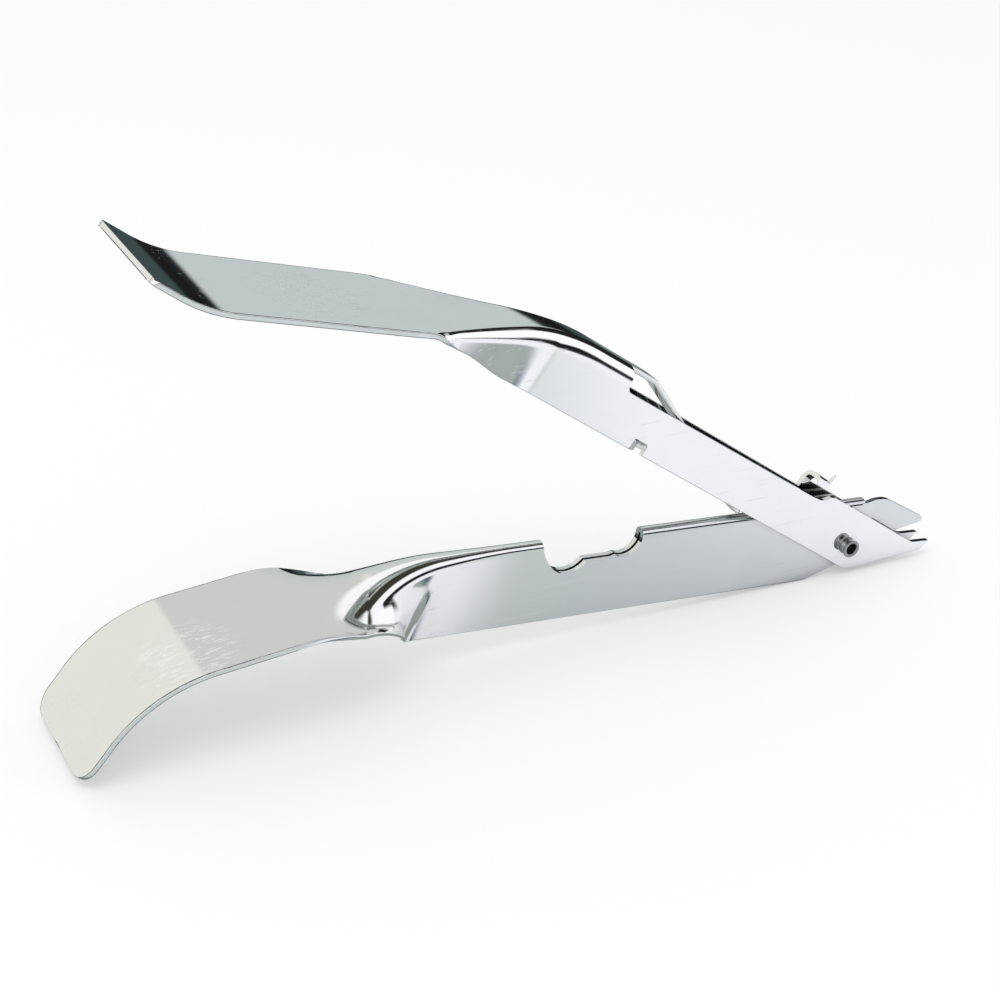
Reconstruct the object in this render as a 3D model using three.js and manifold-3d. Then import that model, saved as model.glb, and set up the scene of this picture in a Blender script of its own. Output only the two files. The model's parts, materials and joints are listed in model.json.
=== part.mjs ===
// Plier-type hand staple remover, standing open on its finger lever.
// Two levers of folded sheet turn on a hollow pivot pin, and a leaf tongue holds them open.
// Millimetres and degrees. x points forward to the jaws, y across the levers, z up.
import * as THREE from 'three';
import { mergeVertices } from 'three/addons/utils/BufferGeometryUtils.js';
import Module from 'manifold-3d';

const wasm = await Module();
wasm.setup();

// ---------------------------------------------------------------- driving dimensions
const sheet = 0.7;
const halfPlate = 9; // half the width of both handle plates
const openAngle = 29.4; // between the two levers at rest
const fingerPitch = -4.65; // finger lever at rest, front low, standing on its hook and its toe
const fit = 0.04; // radial play of a hole on the pin

const pin = { radius: 1.2, bore: 0.85, waist: 1, flare: 1.35, standOut: 1.25 };

// Each lever has its own frame: pivot axis at the origin, x along its straight part.
const finger = {
  crest: 6.2, // middle of the sheet along the folded top edge
  bottom: -5.4,
  foldRadius: 0.55, // middle of the sheet
  foldEnd: 2.4, // the double sheet stops just ahead of the pivot
  plateSlope: 10.3,
  // The sheet is flat behind start, its edges hang close together at closed, and are shut at tight.
  shoulder: {
    start: -84, closed: -65, tight: -53, closedHalf: 1.7, closedDepth: 10.8, skew: 0.45,
    wideBend: 7, narrowBend: 2, turnBack: 1.05,
  },
  dip: { slope: 20, radius: 28, rise: 30 }, // where the crest falls to the plate
  plateLength: 18.3,
  hook: { radius: 19, turn: 46, length: 3.1, corner: 2.8 },
};
const thumb = {
  crest: 6.27, // middle of the sheet along the channel's web
  bottomRear: -2.4, // lower edge of the flanges at flangeRear
  bottomFront: -3.2, // and at the pivot
  flangeRear: -73,
  plateSlope: 19.8,
  // Flat behind plate; the flaps hang square at folded; the channel has its full depth at channel.
  // Towards the plate the web widens by spread and the flaps' lower edges come up by rise.
  shoulder: {
    plate: -86.5, folded: -82, channel: -66, bendStart: -58.5, radius: 38, rise: 0.7, spread: 6.4,
  },
  plateLength: 23.5,
  lip: { radius: 20, turn: -22, length: 2.9, corner: 0.7 }, // the turned-up end
  webEnd: -52.7, // ahead of this the web is cut away and only the flanges go on
  topRear: 3.65, // top edge of the flanges behind the roof tab
  topFront: 5.05, // and ahead of it
  // The tab that bends over from the far flange and ends free at nearEdge, above the near one.
  roof: { rear: -12, front: -9.6, slotTop: 5.3, nearEdge: -1.25, tip: 0.6, setBack: 1.1 },
  tine: { length: 16, height: 6.7, raise: 3 },
  halfWidth: 1.68, // outside, at the pivot
  taper: 0.0385, // growth of the half width per millimetre towards the handle
};

// ---------------------------------------------------------------- small helpers
const radians = THREE.MathUtils.degToRad;
const smooth = THREE.MathUtils.smoothstep;

// A closed solid from the faceted geometry of one body.
function solid(geometry) {
  const bare = geometry.index ? geometry.clone() : geometry;
  bare.deleteAttribute('normal');
  bare.deleteAttribute('uv');
  const merged = mergeVertices(bare, 1e-5);
  return new wasm.Manifold(new wasm.Mesh({
    numProp: 3,
    vertProperties: Float32Array.from(merged.attributes.position.array),
    triVerts: Uint32Array.from(merged.index.array),
  }));
}

function geometryOf(body) {
  const mesh = body.getMesh();
  const geometry = new THREE.BufferGeometry();
  geometry.setAttribute('position', new THREE.BufferAttribute(mesh.vertProperties, 3));
  geometry.setIndex(new THREE.BufferAttribute(mesh.triVerts, 1));
  geometry.computeVertexNormals();
  return geometry;
}

// A prism across the tool: its outline is drawn in x and z, and it reaches from y0 to y1.
function acrossTool(shape, y0, y1) {
  const geometry = new THREE.ExtrudeGeometry(shape, {
    depth: y1 - y0, bevelEnabled: false, curveSegments: 10,
  });
  geometry.rotateX(Math.PI / 2);
  geometry.translate(0, y1, 0);
  return solid(geometry);
}

// A prism that stands up: its outline is drawn in x and y, and it reaches from z0 to z1.
function standing(shape, z0, z1) {
  const geometry = new THREE.ExtrudeGeometry(shape, {
    depth: z1 - z0, bevelEnabled: false, curveSegments: 6,
  });
  geometry.translate(0, 0, z0);
  return solid(geometry);
}

function outline(points) {
  return new THREE.Shape(points.map(([x, z]) => new THREE.Vector2(x, z)));
}

function pinHole(halfLength) {
  const rod = new THREE.CylinderGeometry(pin.radius + fit, pin.radius + fit, 2 * halfLength, 40);
  return solid(rod);
}

// ---------------------------------------------------------------- folded sheet
// A lever's crest line, walked from the front towards the handle. A leg is straight
// (length) or bent (radius, turn); a positive turn makes the sheet fall towards the rear.
function walkBack(x, z, legs) {
  const stations = [{ x, z, slope: 0 }];
  let slope = 0;
  for (const { length, radius, turn, steps } of legs) {
    const stride = (length ?? radius * Math.abs(radians(turn))) / steps;
    const bend = radians(turn ?? 0) / steps;
    for (let i = 0; i < steps; i += 1) {
      const heading = slope + bend / 2;
      x -= stride * Math.cos(heading);
      z -= stride * Math.sin(heading);
      slope += bend;
      stations.push({ x, z, slope });
    }
  }
  return stations;
}

// Strides that close in on the end of a plate with a rounded corner.
function cornerLegs(radius, parts) {
  return parts.map((part, i) => ({ length: radius * (part - (parts[i - 1] ?? 0)), steps: 1 }));
}

// How far a rounded corner narrows a plate, at a distance from the plate's end.
function cornerLoss(radius, fromEnd) {
  const reach = Math.max(radius - fromEnd, 0);
  return radius - Math.sqrt(radius * radius - reach * reach);
}

// Half of a cross-section of the folded sheet, as points (s along it, y, drop below the crest).
// It is flat to `flat`, turns through `angle` over the length `bend`, and goes on to `edge`,
// turning back by the share `relax` of the angle on the way.
const bendSteps = 8;
const flapSteps = 6;
const centreFlat = 0.02; // the flat that is left at the middle of a fold

function halfSection({ flat, bend, angle, edge, relax = 0 }) {
  const rest = edge - flat - bend;
  const lengths = [0];
  for (let i = 0; i <= bendSteps; i += 1) lengths.push(flat + (bend * i) / bendSteps);
  for (let i = 1; i <= flapSteps; i += 1) lengths.push(flat + bend + (rest * i) / flapSteps);
  const points = [{ s: 0, y: 0, drop: 0 }];
  for (let i = 1; i < lengths.length; i += 1) {
    const stride = lengths[i] - lengths[i - 1];
    const middle = lengths[i] - stride / 2;
    const folded = THREE.MathUtils.clamp((middle - flat) / bend, 0, 1);
    const relaxed = relax * Math.max((middle - flat - bend) / rest, 0);
    const heading = angle * (folded - relaxed);
    const { y, drop } = points.at(-1);
    points.push({
      s: lengths[i],
      y: y + stride * Math.cos(heading),
      drop: drop + stride * Math.sin(heading),
    });
  }
  return points;
}

// The middle surface as rows of points: one row per station, from the far edge to the near one.
// Sections lean back by `lean`, and each is swept rearwards by `skew` of the length along it.
function surfaceRows(stations, sectionAt) {
  return stations.map((station, i) => {
    const section = sectionAt(station.x, i);
    const { lean, skew = 0 } = section;
    const half = halfSection(section);
    const point = (side) => ({ s, y, drop }) => new THREE.Vector3(
      station.x + drop * Math.sin(lean) - skew * s * Math.cos(station.slope),
      side * y,
      station.z - drop * Math.cos(lean) - skew * s * Math.sin(station.slope));
    return [...half.slice(1).reverse().map(point(1)), ...half.map(point(-1))];
  });
}

// Gives the middle surface its thickness and closes it round the edges.
function thicken(rows) {
  const across = rows[0].length;
  const along = rows.length;
  const normal = (i, j) => {
    const forward = rows[Math.max(i - 1, 0)][j].clone().sub(rows[Math.min(i + 1, along - 1)][j]);
    const toNear = rows[i][Math.min(j + 1, across - 1)].clone().sub(rows[i][Math.max(j - 1, 0)]);
    return toNear.cross(forward).normalize();
  };
  const position = [];
  for (const side of [0.5, -0.5]) {
    rows.forEach((row, i) => row.forEach((point, j) => {
      position.push(...point.clone().addScaledVector(normal(i, j), side * sheet).toArray());
    }));
  }
  const outer = (i, j) => i * across + j;
  const inner = (i, j) => along * across + outer(i, j);
  const index = [];
  const quad = (a, b, c, d) => index.push(a, b, c, a, c, d);
  for (let i = 0; i < along - 1; i += 1) {
    for (let j = 0; j < across - 1; j += 1) {
      quad(outer(i, j), outer(i + 1, j), outer(i + 1, j + 1), outer(i, j + 1));
      quad(inner(i, j), inner(i, j + 1), inner(i + 1, j + 1), inner(i + 1, j));
    }
    quad(outer(i, 0), inner(i, 0), inner(i + 1, 0), outer(i + 1, 0));
    const j = across - 1;
    quad(outer(i, j), outer(i + 1, j), inner(i + 1, j), inner(i, j));
  }
  const last = along - 1;
  for (let j = 0; j < across - 1; j += 1) {
    quad(outer(0, j), outer(0, j + 1), inner(0, j + 1), inner(0, j));
    quad(outer(last, j), inner(last, j), inner(last, j + 1), outer(last, j + 1));
  }
  const geometry = new THREE.BufferGeometry();
  geometry.setAttribute('position', new THREE.Float32BufferAttribute(position, 3));
  geometry.setIndex(index);
  return solid(geometry);
}

// ---------------------------------------------------------------- finger lever
function fingerStations() {
  const { shoulder, dip, hook } = finger;
  const lead = 0.9; // straight behind the place where the fold has closed
  return walkBack(finger.foldEnd, finger.crest, [
    { length: finger.foldEnd - shoulder.tight, steps: 2 },
    { length: shoulder.tight - shoulder.closed, steps: 8 },
    { length: lead, steps: 1 },
    { radius: dip.radius, turn: dip.slope, steps: 10 },
    { radius: dip.rise, turn: finger.plateSlope - dip.slope, steps: 5 },
    { length: finger.plateLength / 5, steps: 4 },
    { length: (finger.plateLength * 4) / 5, steps: 2 },
    { radius: hook.radius, turn: hook.turn, steps: 12 },
    { length: hook.length, steps: 1 },
    ...cornerLegs(0.999 * hook.corner, [0.3, 0.5, 0.7, 0.85, 0.96, 1]),
  ]);
}

// How far a section turns over its bend, and how long it is, for its edge to be at y and drop.
function foldTo(y, drop, bend, relax) {
  let [low, high] = [1e-4, radians(135)];
  let angle;
  let length;
  for (let i = 0; i < 40; i += 1) {
    angle = (low + high) / 2;
    const flap = halfSection({ flat: 0, bend, angle, edge: bend + 1, relax });
    const bent = flap[bendSteps + 1];
    const along = { y: flap.at(-1).y - bent.y, drop: flap.at(-1).drop - bent.drop };
    const left = { y: y - bent.y, drop: drop - bent.drop };
    if (left.drop * along.y > left.y * along.drop) low = angle;
    else high = angle;
    length = Math.hypot(left.y, left.drop) / Math.hypot(along.y, along.drop);
  }
  return { angle, edge: bend + length };
}

// Flat behind the shoulder. From its start the edges sink and close in, slowly and then at once,
// until both halves hang as one double blade.
function fingerSection(stations) {
  const { start, closed, tight, closedHalf, closedDepth, skew } = finger.shoulder;
  const { wideBend, narrowBend, turnBack } = finger.shoulder;
  const [skewIn, skewOut] = [11, 16]; // the skew comes and goes over these lengths
  const depth = finger.crest - finger.bottom;
  const end = stations.at(-1);
  return (x, i) => {
    const lean = radians(finger.plateSlope) * (1 - smooth(x, start, closed));
    const swept = skew * smooth(x, start - skewIn, start) * (1 - smooth(x, closed, closed + skewOut));
    if (x <= start) {
      const fromEnd = Math.hypot(stations[i].x - end.x, stations[i].z - end.z);
      const edge = halfPlate - cornerLoss(finger.hook.corner, fromEnd);
      return { flat: centreFlat, bend: edge - 0.5, angle: 0, edge, lean, skew: swept };
    }
    const part = Math.min((x - start) / (closed - start), 1);
    const shut = 1 - (1 - THREE.MathUtils.clamp((x - closed) / (tight - closed), 0, 1)) ** 2;
    const closedShare = 0.6 * part ** 1.6 + 0.4 * part ** 6;
    const open = halfPlate - (halfPlate - closedHalf) * closedShare;
    const y = open - (closedHalf - finger.foldRadius) * shut;
    const drop = closedDepth * part ** 1.9 + (depth - closedDepth) * shut;
    const closing = THREE.MathUtils.lerp(wideBend, narrowBend, part);
    const bend = closing + (finger.foldRadius * radians(90) - narrowBend) * shut;
    const relax = turnBack * (1 - part ** 4);
    const { angle, edge } = foldTo(y - centreFlat, drop, bend, relax);
    return { flat: centreFlat, bend, angle, edge: edge + centreFlat, lean, skew: swept, relax };
  };
}

// Cut into the folded top edge: a deep round scoop, then a shallow step that curves up again.
function fingerNotch() {
  const shape = new THREE.Shape();
  shape.moveTo(-50.9, 7.5);
  shape.lineTo(-50.6, 5.4);
  shape.quadraticCurveTo(-50, 3.9, -49.4, 3.2);
  shape.absarc(-46.4, 4.9, 3.4, radians(210), radians(323), false);
  shape.lineTo(-39.6, 2.85);
  shape.absarc(-37.9, 5.5, 2.6, radians(248), radians(360), false);
  shape.lineTo(-35.3, 7.5);
  return acrossTool(shape, -2, 2);
}

// The near layer goes on alone as a flat beak: it steps to the middle plane and narrows to a tip.
function beak() {
  const side = acrossTool(outline([
    [1.9, -2.72], [8.2, 0.1], [10.9, 0.8], [14.4, 1.5], [14.35, 2.15], [6.6, 6.1], [1.9, 6.1],
  ]), -2, 2);
  const layer = (offset) => [[1, -0.55], [2.7, -0.55], [3.4, -0.4], [4.2, -0.12], [5, 0], [16, 0]]
    .map(([x, y]) => new THREE.Vector2(x, y + offset));
  const plan = new THREE.Shape([...layer(-sheet / 2), ...layer(sheet / 2).reverse()]);
  return standing(plan, -6, 10).intersect(side);
}

function fingerLever() {
  const stations = fingerStations();
  const toe = outline([[-6.4, -5.5], [2.6, -2.4], [2.6, -7], [-6.4, -7]]);
  return thicken(surfaceRows(stations, fingerSection(stations)))
    .subtract(fingerNotch())
    .subtract(acrossTool(toe, -2, 2))
    .add(beak())
    .subtract(pinHole(3));
}

// ---------------------------------------------------------------- thumb lever
// Ahead of the roof tab the web is cut away, so its crest is drawn higher there: that keeps the
// flanges flat to the tops of the tines.
const raiseFront = (station) => (
  station.x > thumb.roof.front + 0.2 ? { ...station, z: station.z + thumb.tine.raise } : station);

function thumbStations() {
  const { webEnd, roof, shoulder, lip, tine } = thumb;
  const step = 0.3; // ahead of the roof tab the crest rises over this length
  const roofLength = 4;
  const shoulderLength = 16; // straight, from the bend to the plate
  return walkBack(tine.length, thumb.crest, [
    { length: tine.length - roof.front - step, steps: 3 },
    { length: step, steps: 1 },
    { length: roofLength, steps: 2 },
    { length: roof.front - roofLength - webEnd, steps: 3 },
    { length: webEnd - shoulder.bendStart, steps: 3 },
    { radius: shoulder.radius, turn: thumb.plateSlope, steps: 9 },
    { length: shoulderLength, steps: 10 },
    { length: thumb.plateLength, steps: 2 },
    { radius: lip.radius, turn: lip.turn, steps: 6 },
    { length: lip.length, steps: 1 },
    ...cornerLegs(lip.corner, [0.57, 1]),
  ]).map(raiseFront);
}

// Outer half width of the channel, radius of its corners, and height of its lower edges.
const parallelTo = -4; // the flanges run parallel ahead of this
const channelHalf = (x) => thumb.halfWidth + thumb.taper * Math.max(parallelTo - x, 0);
const channelBend = (x) => 1.15 + 0.7 * smooth(-x, -thumb.roof.rear, -thumb.webEnd);
const flangeBottom = (x) => THREE.MathUtils.mapLinear(
  x, thumb.flangeRear, 0, thumb.bottomRear, thumb.bottomFront);

function thumbSection(stations) {
  const { plate, folded, channel, rise, spread } = thumb.shoulder;
  const endX = stations.at(-1).x;
  const leastRadius = 0.35;
  const leastFlap = 0.15;
  const leastFall = 0.3; // width of the plate outside its bend
  return (x, i) => {
    const back = Math.max(channel - x, 0) / (channel - plate);
    const radius = Math.max(channelBend(x) * (1 - 0.8 * back), leastRadius);
    const angle = radians(90) * smooth(x, plate, folded);
    const bend = radius * radians(90);
    const channelFlat = channelHalf(x) - channelBend(x) - sheet / 2;
    const plateFlat = halfPlate - bend - leastFall;
    const flat = Math.min(channelFlat + spread * back ** 1.45, plateFlat);
    const raised = flangeBottom(x) + rise * (1 - smooth(x, plate + 5.5, plate + 14.5));
    const flap = Math.max(stations[i].z - radius - raised, leastFlap);
    const loss = cornerLoss(thumb.lip.corner, x - endX);
    const edge = x < plate ? halfPlate - loss : flat + bend + flap;
    const lean = radians(thumb.plateSlope) * (1 - smooth(x, plate, channel));
    return { flat: flat - loss, bend, angle, edge, lean };
  };
}

// Everything above the flanges' top edges, except the roof tab, and the hooks of the tines.
function thumbTopCuts() {
  const { webEnd, topRear, topFront, roof, tine } = thumb;
  const above = 12;
  const corner = 1; // radius where the web ends
  const window = new THREE.Shape();
  window.moveTo(webEnd, above);
  window.lineTo(webEnd, topRear + corner);
  window.absarc(webEnd + corner, topRear + corner, corner, radians(180), radians(270), false);
  window.lineTo(roof.rear, topRear);
  window.lineTo(roof.rear, above);
  const nose = outline([[roof.front, above], [roof.front, topFront], [10.9, topFront], [11.5, 5.2],
    [14.1, tine.height - 0.15], [20, tine.height - 0.2], [20, above]]);
  const slotRear = roof.rear - 0.2;
  const nearSlot = new THREE.Shape();
  nearSlot.moveTo(slotRear, topRear);
  nearSlot.lineTo(-10.6, topRear + 0.05);
  nearSlot.quadraticCurveTo(-9.6, topRear + 0.1, -8.8, 4.5);
  nearSlot.quadraticCurveTo(-8.2, topFront, -7.2, topFront);
  nearSlot.lineTo(-7.2, roof.slotTop);
  nearSlot.lineTo(slotRear, roof.slotTop);
  const besideTab = outline([[slotRear, topFront], [-7.2, topFront], [-7.2, above], [slotRear, above]]);
  return [acrossTool(window, -above, above), acrossTool(nose, -above, above),
    acrossTool(nearSlot, -4, -0.8), acrossTool(besideTab, -4, roof.nearEdge),
    standing(aheadOfRoof(), topFront, above)];
}

// The roof tab is set back on the far side; on the near side it ends in a small rounded tongue.
function aheadOfRoof() {
  const { front, tip, setBack } = thumb.roof;
  const side = -0.5; // y where the tongue begins
  const shape = new THREE.Shape();
  shape.moveTo(front - setBack, 6);
  shape.lineTo(front - setBack, side + tip);
  shape.quadraticCurveTo(front - setBack, side, front - tip, side);
  shape.absarc(front - tip, side - tip, tip, radians(90), radians(-90), true);
  shape.lineTo(front - tip, -6);
  shape.lineTo(0, -6);
  shape.lineTo(0, 6);
  return shape;
}

// The flanges' lower front: a rounded corner under the pivot, then a rise to the tine tips.
function thumbFrontCut() {
  const shape = new THREE.Shape();
  shape.moveTo(-1, -9);
  shape.lineTo(-1, thumb.bottomFront);
  shape.lineTo(1, thumb.bottomFront);
  shape.quadraticCurveTo(3, thumb.bottomFront, 4.6, -1.9);
  shape.lineTo(13.5, 4.7);
  shape.lineTo(14.05, 6.5);
  shape.lineTo(14.2, thumb.tine.height);
  shape.lineTo(20, thumb.tine.height);
  shape.lineTo(20, -9);
  return acrossTool(shape, -6, 6);
}

// A door lanced from each flange's lower edge and pushed inwards, with the gap it leaves.
const guide = { rear: -46.9, front: -44.1, top: -1.05, length: 2.4, swing: 35 };

function guideGap() {
  const { rear, front, top } = guide;
  const corner = 0.3;
  return acrossTool(outline([[rear, -6], [rear, top - corner], [rear + corner, top],
    [front - corner, top], [front, top - corner], [front, -6]]), -8, 8);
}

function guideDoor(side) {
  const bottom = flangeBottom(guide.rear);
  const clearance = 0.15; // under the top of the gap
  const height = guide.top - clearance - bottom;
  const root = 0.25; // length of the door inside its flange
  const door = new THREE.BoxGeometry(guide.length, sheet, height);
  door.translate(guide.length / 2 - root, 0, bottom + height / 2);
  door.rotateZ(-side * radians(guide.swing));
  door.translate(guide.rear, side * (channelHalf(guide.rear) - sheet / 2), 0);
  return solid(door);
}

function thumbLever() {
  const stations = thumbStations();
  let body = thicken(surfaceRows(stations, thumbSection(stations)));
  for (const cut of [...thumbTopCuts(), thumbFrontCut(), guideGap(), pinHole(3)]) {
    body = body.subtract(cut);
  }
  return body.add(guideDoor(1)).add(guideDoor(-1));
}

// ---------------------------------------------------------------- return tongue
// The strip of web ahead of the channel: level at its root, then bent down onto the
// finger lever's folded edge, with its tip turned up to slide.
const tongue = {
  root: thumb.webEnd + 0.3, bend: -47.3, drop: 20.5, tip: -21.4, rootHalf: 1.45, tipHalf: 1.05,
};

function returnTongue() {
  const fall = Math.tan(radians(tongue.drop));
  const height = (x) => thumb.crest - fall * Math.max(tongue.bend - 0.4 - x, x - tongue.bend, 0);
  const middle = [[tongue.root, thumb.crest], [tongue.bend - 1, thumb.crest],
    [tongue.bend, thumb.crest - 0.1], [tongue.bend + 1, height(tongue.bend + 1)],
    [tongue.tip, height(tongue.tip)], [tongue.tip + 1.1, height(tongue.tip) - 0.1]];
  const shift = sheet / 2;
  const ahead = shift * Math.sin(radians(tongue.drop)); // of the upper face on the sloping part
  const upper = middle.map(([x, z]) => [x > tongue.bend ? x + ahead : x, z + shift]);
  const lower = middle.map(([x, z]) => [x, z - shift]).reverse();
  const side = acrossTool(outline([...upper, ...lower].reverse()), -3, 3);
  const plan = outline([
    [tongue.root - 1, -tongue.rootHalf], [tongue.tip + 3, -tongue.tipHalf],
    [tongue.tip + 3, tongue.tipHalf], [tongue.root - 1, tongue.rootHalf],
  ]);
  return side.intersect(standing(plan, -12, 12));
}

// ---------------------------------------------------------------- pivot pin
// A hollow rivet: drawn in to a waist beside the flanges and flared at both ends.
function pivotPin() {
  const flange = thumb.halfWidth;
  const half = flange + pin.standOut;
  const lip = 0.13;
  const upper = [[pin.radius, flange + 0.3], [pin.waist, flange + 0.6],
    [(pin.waist + pin.flare) / 2 - 0.07, flange + 0.9], [pin.flare, half - lip],
    [pin.flare - lip, half], [pin.bore + lip, half], [pin.bore, half - lip]];
  const lower = upper.map(([r, h]) => [r, -h]).reverse();
  const profile = [...lower, ...upper, lower[0]];
  return new THREE.LatheGeometry(profile.map(([r, h]) => new THREE.Vector2(r, h)), 40);
}

// ---------------------------------------------------------------- assembly
const steel = (colour, roughness) => new THREE.MeshStandardMaterial(
  { color: colour, roughness, metalness: 1 });

function piece(name, geometry, material) {
  const mesh = new THREE.Mesh(geometry, material);
  mesh.name = name;
  return mesh;
}

function lever(pitch, ...meshes) {
  const group = new THREE.Group();
  group.rotation.y = -radians(pitch);
  group.add(...meshes);
  return group;
}

const tool = new THREE.Group();
tool.add(
  lever(fingerPitch, piece('finger_lever', geometryOf(fingerLever()), steel(0xc4cccb, 0.16))),
  lever(
    fingerPitch - openAngle,
    piece('thumb_lever', geometryOf(thumbLever()), steel(0xd9dde4, 0.14)),
    piece('return_tongue', geometryOf(returnTongue()), steel(0xd3dbd8, 0.2)),
    piece('pivot_pin', pivotPin(), steel(0x8d9296, 0.25)),
  ),
);

// The tool stands on the ground plane, with the middle of its bounding box over the origin.
tool.updateMatrixWorld(true);
const box = new THREE.Box3().setFromObject(tool, true);
tool.position.set(-(box.min.x + box.max.x) / 2, 0, -box.min.z);

export default tool;
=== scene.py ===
"""Looks of a plier-type hand staple remover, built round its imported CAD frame.

Two levers of bright folded sheet turn on a hollow pivot pin; a leaf tongue holds them open.
Each lever is drawn in its own frame, in millimetres: the pivot is the origin, x points
forward to the jaws, y across to the far side and z up. place() turns that into the row frame.
"""
import json
import math

import bmesh
import bpy
import numpy as np
from mathutils import Matrix, Vector
from mathutils.bvhtree import BVHTree


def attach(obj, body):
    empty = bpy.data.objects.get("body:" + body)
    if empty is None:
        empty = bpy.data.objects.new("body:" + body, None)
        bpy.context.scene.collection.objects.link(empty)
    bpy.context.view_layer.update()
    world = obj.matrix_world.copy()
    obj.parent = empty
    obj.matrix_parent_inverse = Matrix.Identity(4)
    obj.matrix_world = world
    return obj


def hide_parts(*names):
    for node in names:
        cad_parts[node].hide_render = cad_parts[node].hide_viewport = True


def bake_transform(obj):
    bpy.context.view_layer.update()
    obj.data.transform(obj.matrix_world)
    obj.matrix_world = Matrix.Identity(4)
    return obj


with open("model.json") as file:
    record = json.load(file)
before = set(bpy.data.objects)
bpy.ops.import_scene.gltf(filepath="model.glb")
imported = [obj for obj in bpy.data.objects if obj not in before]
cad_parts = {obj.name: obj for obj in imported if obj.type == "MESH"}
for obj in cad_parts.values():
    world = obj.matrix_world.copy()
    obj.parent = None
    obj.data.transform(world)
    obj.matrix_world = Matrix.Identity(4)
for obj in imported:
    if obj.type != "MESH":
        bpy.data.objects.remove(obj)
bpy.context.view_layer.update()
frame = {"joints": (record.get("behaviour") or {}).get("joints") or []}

# ------------------------------------------------------------------ driving dimensions (mm)
SHEET = 0.7
HALF_PLATE = 9.0
FINGER_PITCH = -4.65
THUMB_PITCH = -34.05
EDGE_ROUND = 0.14  # rounding along the rolled-over edges of the blanks

PIVOT = Vector(frame["joints"][0]["pos_m"]) * 1000

FINGER = {
    "crest": 6.2, "bottom": -5.4, "fold_radius": 0.55, "fold_end": 2.4,
    "start": -84.0, "closed": -65.0, "tight": -53.0,  # where the fold starts, closes and is shut
    "closed_half": 1.7, "closed_depth": 10.8, "skew": 0.45,
    "dip_slope": 20, "dip_radius": 28, "rise_radius": 30,  # the crest's fall to the plate
    "plate_slope": 10.3, "plate_length": 18.3,
    "hook_radius": 19, "hook_turn": 46, "hook_length": 3.1, "hook_corner": 2.8,
}
THUMB = {
    "crest": 6.27, "bottom_rear": -2.4, "bottom_front": -3.2,
    "plate": -86.5, "folded": -82.0, "channel": -66.0, "bend_start": -58.5, "rise": 0.7,
    "web_end": -52.7, "top_rear": 3.65, "top_front": 5.05, "slot_top": 5.3, "near_edge": -1.25,
    "roof_rear": -12.0, "roof_front": -9.6, "half_width": 1.68, "taper": 0.0385,
    "plate_slope": 19.8, "plate_length": 23.5, "lip_corner": 0.7,
    "tine_length": 16.0, "tine_height": 6.7,
}
PIN = {"radius": 1.2, "bore": 0.85, "waist": 1.0, "flare": 1.35, "stand_out": 1.25, "fit": 0.04}


# ------------------------------------------------------------------ small helpers
def smooth(x, low, high):
    t = min(max((x - low) / (high - low), 0.0), 1.0)
    return t * t * (3 - 2 * t)


def corner_loss(radius, from_end):
    """How far a rounded corner narrows a plate, at a distance from its end."""
    reach = max(radius - from_end, 0.0)
    return radius - math.sqrt(max(radius * radius - reach * reach, 0.0))


def straight(length, steps):
    return [(length / steps, 0.0)] * steps


def bent(radius, turn, steps):
    angle = math.radians(turn) / steps
    return [(radius * abs(angle), angle)] * steps


def rounding(radius, steps):
    """Strides that close in on a plate's end, short where its corner is round."""
    reach = [radius * math.sin(math.pi / 2 * i / steps) for i in range(steps + 1)]
    return [(b - a, 0.0) for a, b in zip(reach, reach[1:])]


def walk_back(x, z, strides):
    """The crest line towards the handle: rows of x, z and slope. A positive turn falls rearwards."""
    stations = [(x, z, 0.0)]
    slope = 0.0
    for stride, turn in strides:
        heading = slope + turn / 2
        x -= stride * math.cos(heading)
        z -= stride * math.sin(heading)
        slope += turn
        stations.append((x, z, slope))
    return stations


# ------------------------------------------------------------------ folded sheet
BEND_POINTS = 18
FLAP_POINTS = 18
CENTRE_FLAT = 0.02


def half_section(flat, bend, angle, edge, relax=0.0):
    """(arc length, y, drop below the crest) of points across half of a folded section: flat,
    then turning over the bend, then a flap that turns back by the share relax of the angle."""
    rest = edge - flat - bend
    lengths = [0.0]
    lengths += [flat + bend * i / BEND_POINTS for i in range(BEND_POINTS + 1)]
    lengths += [flat + bend + rest * i / FLAP_POINTS for i in range(1, FLAP_POINTS + 1)]
    points = [(0.0, 0.0, 0.0)]
    y = drop = 0.0
    for before, s in zip(lengths, lengths[1:]):
        middle = (before + s) / 2
        folded = min(max((middle - flat) / bend, 0.0), 1.0)
        relaxed = relax * max((middle - flat - bend) / rest, 0.0)
        heading = angle * (folded - relaxed)
        y += (s - before) * math.cos(heading)
        drop += (s - before) * math.sin(heading)
        points.append((s, y, drop))
    return points


def surface(stations, section_at):
    """The middle surface as an array of rows of points, from the far edge to the near one.
    Sections lean back, and each is swept rearwards by its skew times the length along it."""
    rows = []
    for i, (x, z, slope) in enumerate(stations):
        section = section_at(i, x, z)
        lean = section.pop("lean")
        skew = section.pop("skew", 0.0)
        half = half_section(**section)
        row = []
        for side, points in ((1, half[:0:-1]), (-1, half)):
            for s, y, drop in points:
                row.append((
                    x + drop * math.sin(lean) - skew * s * math.cos(slope),
                    side * y,
                    z - drop * math.cos(lean) - skew * s * math.sin(slope)))
        rows.append(row)
    return np.array(rows)


def unit(v):
    return v / np.maximum(np.linalg.norm(v, axis=-1, keepdims=True), 1e-12)


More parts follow.
